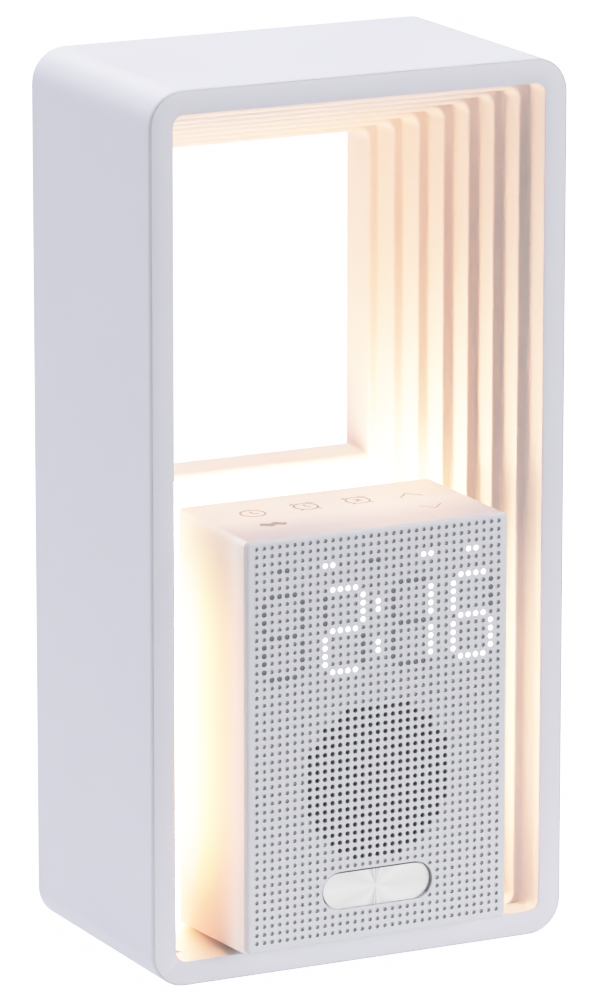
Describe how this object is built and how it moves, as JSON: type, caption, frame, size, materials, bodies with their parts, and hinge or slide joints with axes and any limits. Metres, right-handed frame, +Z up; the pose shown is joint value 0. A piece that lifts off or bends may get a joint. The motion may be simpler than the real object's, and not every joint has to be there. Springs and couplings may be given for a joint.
{
  "type": "sunrise alarm clock",
  "caption": "Sunrise alarm clock: rounded upright frame with a stepped funnel, a lamp panel and a window, and a clock and speaker unit with a dot display and a pill-shaped snooze key.",
  "frame": {"origin": "middle of the footprint, on the surface the clock stands on", "axes": "+Z up; the clock face and the open side of the frame look along -Y; +X is to the right of a viewer who looks at the clock face"},
  "size_m": [0.1304, 0.0886, 0.2576],
  "materials": {
    "shell": "fine matte, very light cool grey",
    "liner": "fine matte white",
    "cover": "fine matte light grey",
    "screw_steel": "plated",
    "diffuser": "opal, lit warm white",
    "tray_white": "matte reflector white",
    "lamp_board": "white solder mask",
    "led_warm": "phosphor yellow",
    "case": "fine matte white",
    "grille": "fine matte light grey, perforated",
    "mask_black": "matte",
    "circuit_board": "green solder mask",
    "led_white": "clear",
    "button_metal": "spun and polished",
    "spring_steel": "drawn wire",
    "switch_black": "moulded",
    "switch_grey": "moulded",
    "cloth_black": "open weave",
    "rubber_black": "soft",
    "basket_steel": "black zinc",
    "cone_black": "coated paper",
    "spider_cloth": "resin-dipped cloth",
    "pole_steel": "zinc plated",
    "magnet": "ferrite, ground faces",
    "component_black": "moulded",
    "cell_steel": "bright",
    "copper": "bare foil",
    "plinth_plastic": "moulded",
    "contact_metal": "plated contact",
    "lead_black": "insulation",
    "lead_white": "insulation",
    "lead_red": "insulation",
    "ribbon_grey": "flat cable",
    "feet_rubber": "grey, soft"
  },
  "bodies": {
    "clock": {"outer_sleeve": "shell", "stepped_liner": "liner", "rear_cover": "cover", "rear_cover_screws": "screw_steel", "light_diffuser": "diffuser", "light_tray": "tray_white", "lamp_board": "lamp_board", "lamp_leds": "led_warm", "lamp_board_screws": "screw_steel", "clock_case": "case", "front_grille": "grille", "display_mask": "mask_black", "display_board": "circuit_board", "display_leds": "led_white", "display_screws": "screw_steel", "button_springs": "spring_steel", "tact_switch": "switch_grey", "button_board": "circuit_board", "button_board_screws": "screw_steel", "acoustic_cloth": "cloth_black", "speaker_gasket": "rubber_black", "speaker_frame": "basket_steel", "speaker_surround": "rubber_black", "speaker_spider": "spider_cloth", "speaker_top_plate": "pole_steel", "speaker_magnet": "magnet", "speaker_yoke": "pole_steel", "speaker_screws": "screw_steel", "main_board": "circuit_board", "board_components": "component_black", "board_screws": "screw_steel", "coin_cell_holder": "switch_black", "coin_cell": "cell_steel", "touch_board": "circuit_board", "touch_pads": "copper", "mounting_plinth": "plinth_plastic", "plinth_screws": "screw_steel", "dc_jack": "switch_black", "dc_jack_pin": "contact_metal", "power_lead": "lead_black", "lamp_lead": "lead_white", "speaker_lead": "lead_red", "display_ribbon": "ribbon_grey", "rubber_feet": "feet_rubber"},
    "button": {"snooze_button": "button_metal", "switch_plunger": "switch_black"},
    "cone": {"speaker_cone": "cone_black"}
  },
  "joints": [
    {"name": "snooze_press", "type": "slide", "parent": "clock", "child": "button", "axis": [0, 1, 0], "range_m": [0, 0.0008], "stiffness_N_per_m": 1500, "deforming": ["button_springs"]},
    {"name": "cone_travel", "type": "slide", "parent": "clock", "child": "cone", "axis": [0, 1, 0], "range_m": [-0.001, 0.001], "stiffness_N_per_m": 800, "deforming": ["speaker_surround", "speaker_spider"]}
  ]
}
